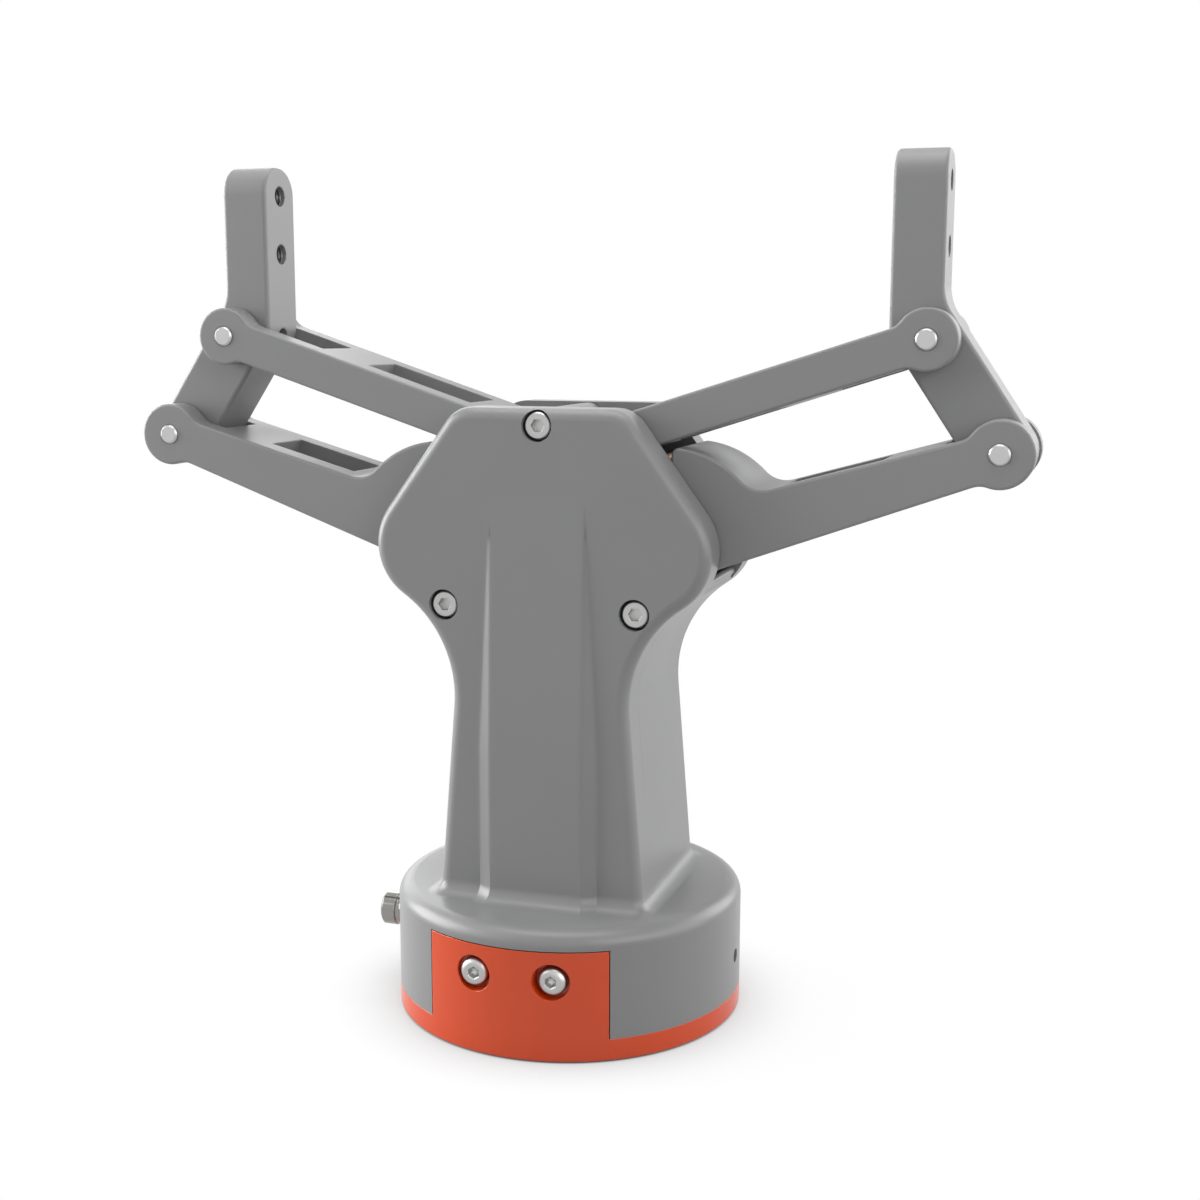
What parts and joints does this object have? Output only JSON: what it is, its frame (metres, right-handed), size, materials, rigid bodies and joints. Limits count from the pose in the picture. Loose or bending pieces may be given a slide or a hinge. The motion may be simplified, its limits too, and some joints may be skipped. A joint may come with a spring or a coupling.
{
  "type": "robot gripper",
  "caption": "Two-finger parallel gripper for a small robot arm: worm-driven cranks and upper links carry upright fingers on a tapered column with a round flange base",
  "frame": {"origin": "centre of the flange face at the bottom of the adapter", "axes": "+Z from the flange towards the fingers, X is the opening direction, front faces -Y"},
  "size_m": [0.1922, 0.075, 0.1802],
  "materials": {
    "body_grey": "fine bead-blasted, grey anodised",
    "adapter_orange": "bead-blasted, orange anodised",
    "screw_steel": "turned stainless steel",
    "dark_screw": "blackened steel",
    "shaft_steel": "ground steel",
    "worm_steel": "hardened and ground steel",
    "bronze": "cut bronze, greased",
    "bush_bronze": "sintered bronze",
    "motor_can": "zinc plated can",
    "gearbox_can": "turned steel can",
    "black_plastic": "moulded black plastic",
    "board_green": "green solder mask",
    "connector_metal": "nickel-plated, turned",
    "contact_gold": "gold-plated contacts",
    "bearing_steel": "polished bearing steel"
  },
  "bodies": {
    "housing": {"flange_adapter": "adapter_orange", "adapter_screws": "screw_steel", "base_housing": "body_grey", "side_set_screw": "dark_screw", "connector_shell": "connector_metal", "connector_insert": "black_plastic", "connector_contacts": "contact_gold", "connector_nut": "connector_metal", "controller_board": "board_green", "board_standoffs": "shaft_steel", "board_screws": "screw_steel", "body_frame": "body_grey", "frame_screws": "screw_steel", "front_cover": "body_grey", "rear_cover": "body_grey", "front_cover_screws": "screw_steel", "rear_cover_screws": "screw_steel", "top_spacer": "body_grey", "bearing_bridge": "body_grey", "worm_bearing_outer": "bearing_steel", "worm_bearing_balls": "bearing_steel", "gearbox": "gearbox_can", "gearbox_screws": "screw_steel", "motor": "motor_can", "motor_encoder": "black_plastic", "right_crank_shaft": "shaft_steel", "right_link_pivot_pin": "shaft_steel", "left_crank_shaft": "shaft_steel", "left_link_pivot_pin": "shaft_steel"},
    "right_crank_body": {"right_crank": "body_grey", "right_worm_wheel": "bronze", "right_wheel_screws": "screw_steel", "right_crank_bushes": "bush_bronze", "right_crank_pin": "shaft_steel"},
    "right_link_body": {"right_upper_link": "body_grey", "right_link_bushes": "bush_bronze"},
    "right_finger_body": {"right_finger": "body_grey", "right_finger_bush": "bush_bronze", "right_finger_pin": "shaft_steel", "right_pin_lock_screw": "dark_screw"},
    "left_crank_body": {"left_crank": "body_grey", "left_worm_wheel": "bronze", "left_wheel_screws": "screw_steel", "left_crank_bushes": "bush_bronze", "left_crank_pin": "shaft_steel"},
    "left_link_body": {"left_upper_link": "body_grey", "left_link_bushes": "bush_bronze"},
    "left_finger_body": {"left_finger": "body_grey", "left_finger_bush": "bush_bronze", "left_finger_pin": "shaft_steel", "left_pin_lock_screw": "dark_screw"},
    "worm_body": {"worm": "worm_steel", "worm_shaft": "shaft_steel", "worm_bearing_inner": "bearing_steel"}
  },
  "joints": [
    {"name": "right_crank_hinge", "type": "hinge", "parent": "housing", "child": "right_crank_body", "pos_m": [0.0248, 0, 0.1017], "axis": [0, -1, 0], "range_deg": [0, 73]},
    {"name": "left_crank_hinge", "type": "hinge", "parent": "housing", "child": "left_crank_body", "pos_m": [-0.0248, 0, 0.1017], "axis": [0, 1, 0], "range_deg": [0, 73]},
    {"name": "right_link_hinge", "type": "hinge", "parent": "housing", "child": "right_link_body", "pos_m": [0.0104, 0, 0.1231], "axis": [0, -1, 0], "range_deg": [0, 73]},
    {"name": "left_link_hinge", "type": "hinge", "parent": "housing", "child": "left_link_body", "pos_m": [-0.0104, 0, 0.1231], "axis": [0, 1, 0], "range_deg": [0, 73]},
    {"name": "right_finger_hinge", "type": "hinge", "parent": "right_crank_body", "child": "right_finger_body", "pos_m": [0.08941, 0, 0.12257], "axis": [0, 1, 0], "range_deg": [0, 73]},
    {"name": "left_finger_hinge", "type": "hinge", "parent": "left_crank_body", "child": "left_finger_body", "pos_m": [-0.08941, 0, 0.12257], "axis": [0, -1, 0], "range_deg": [0, 73]},
    {"name": "worm_spin", "type": "hinge", "parent": "housing", "child": "worm_body", "pos_m": [0, 0, 0.1017], "axis": [0, 0, 1], "range_deg": [0, 1314]}
  ],
  "couplings": [
    {"joint": "left_crank_hinge", "follows": "right_crank_hinge", "ratio": 1},
    {"joint": "right_link_hinge", "follows": "right_crank_hinge", "ratio": 1},
    {"joint": "left_link_hinge", "follows": "right_crank_hinge", "ratio": 1},
    {"joint": "right_finger_hinge", "follows": "right_crank_hinge", "ratio": 1},
    {"joint": "left_finger_hinge", "follows": "right_crank_hinge", "ratio": 1},
    {"joint": "worm_spin", "follows": "right_crank_hinge", "ratio": 18}
  ]
}
